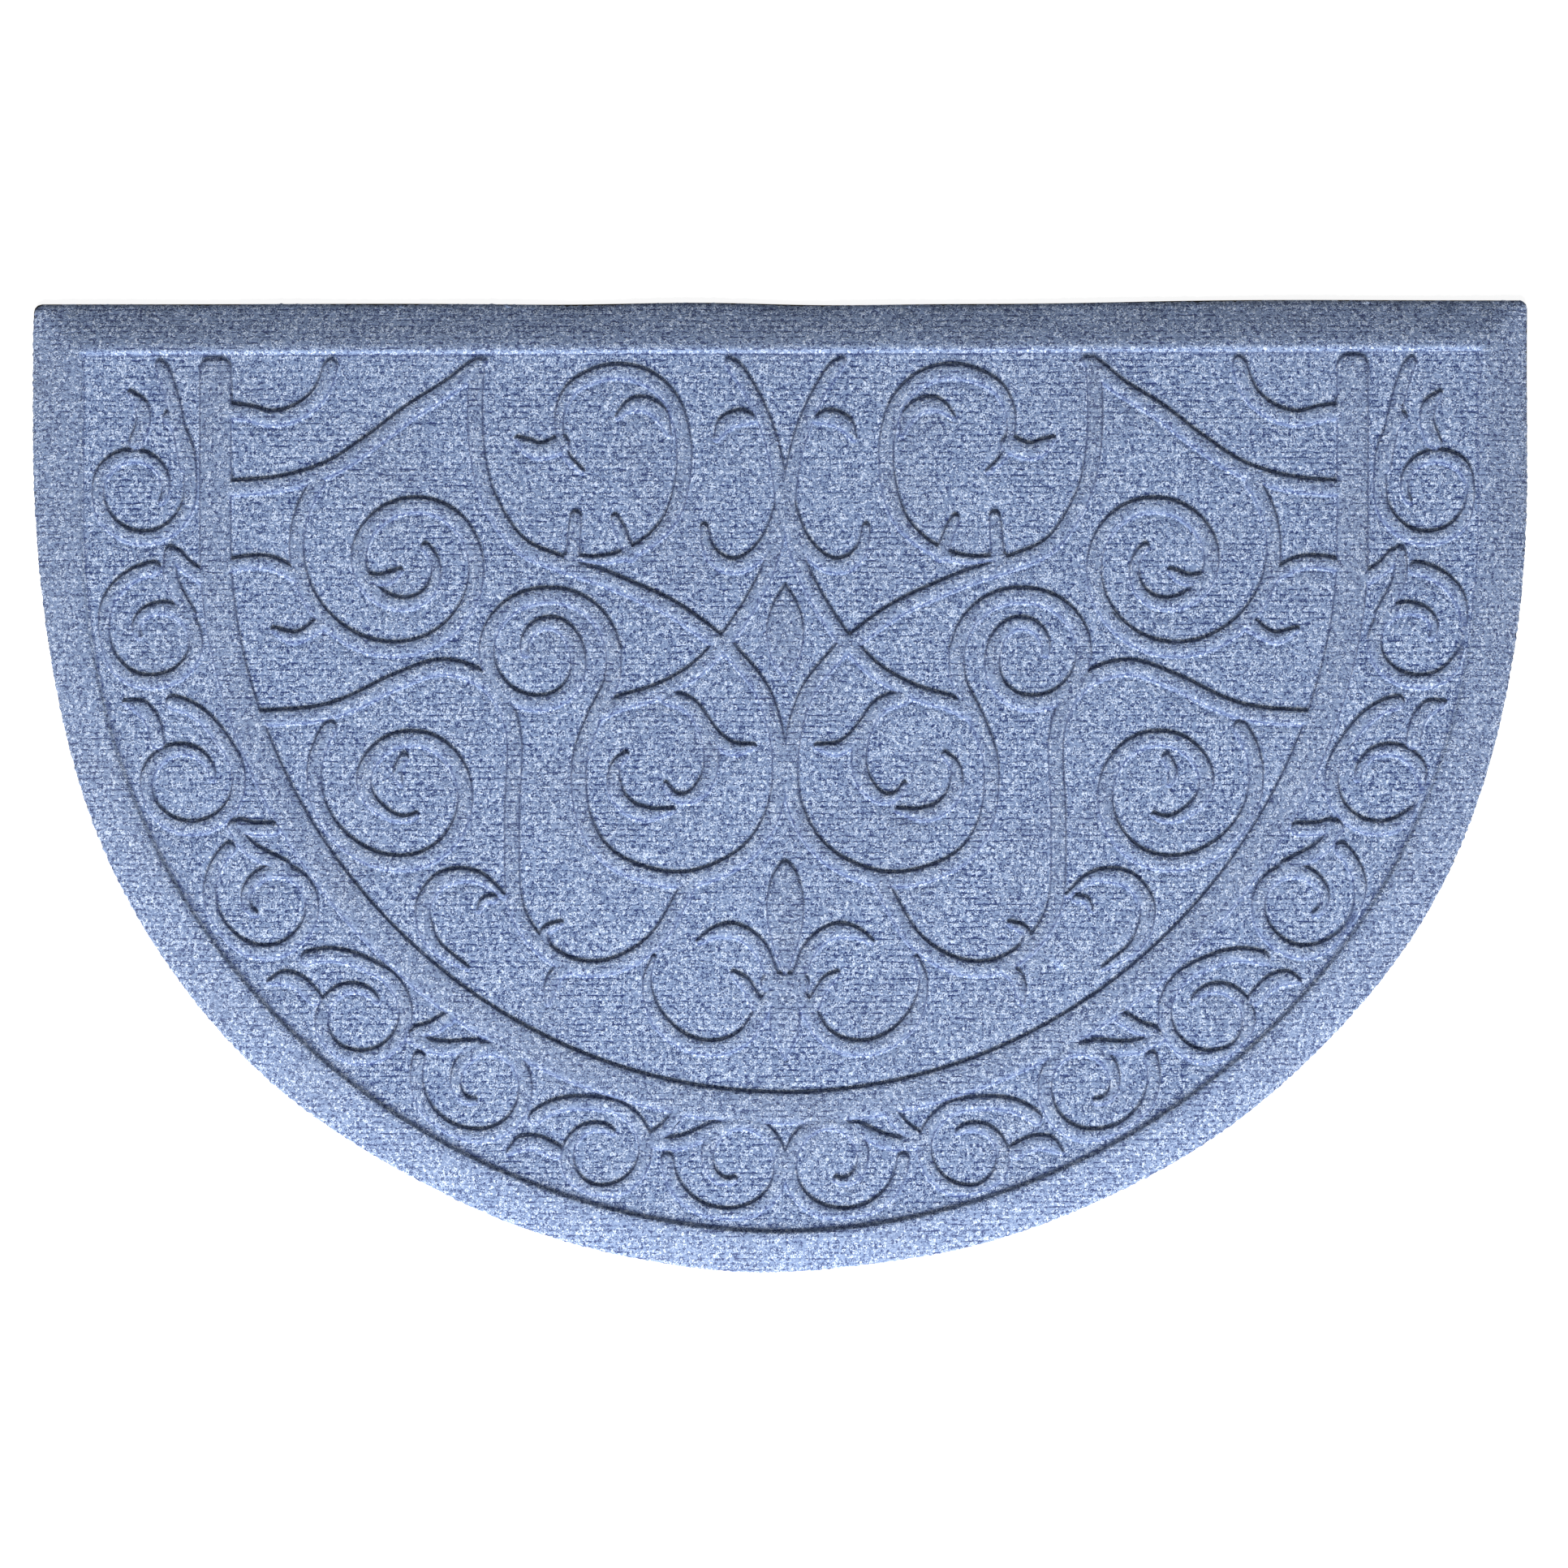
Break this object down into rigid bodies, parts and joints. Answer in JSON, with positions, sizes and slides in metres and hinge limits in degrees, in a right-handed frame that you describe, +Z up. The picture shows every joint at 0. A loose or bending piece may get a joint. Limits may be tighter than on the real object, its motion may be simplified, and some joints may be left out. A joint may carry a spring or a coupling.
{
  "type": "half-round entrance mat",
  "caption": "Half-round entrance mat: a blue needle-punched carpet face with raised scrollwork and a raised rim, on a black rubber backing.",
  "frame": {"origin": "on the underside, below the middle of the mat's bounding box", "axes": "+X along the straight edge, +Y towards the straight edge, +Z up out of the carpet"},
  "size_m": [0.9157, 0.5957, 0.0105],
  "materials": {
    "carpet": "heather-blue needle-punched fibre, matte",
    "rubber": "moulded black rubber, matte"
  },
  "bodies": {
    "root": {"carpet_face": "carpet", "rubber_backing": "rubber"}
  },
  "joints": []
}
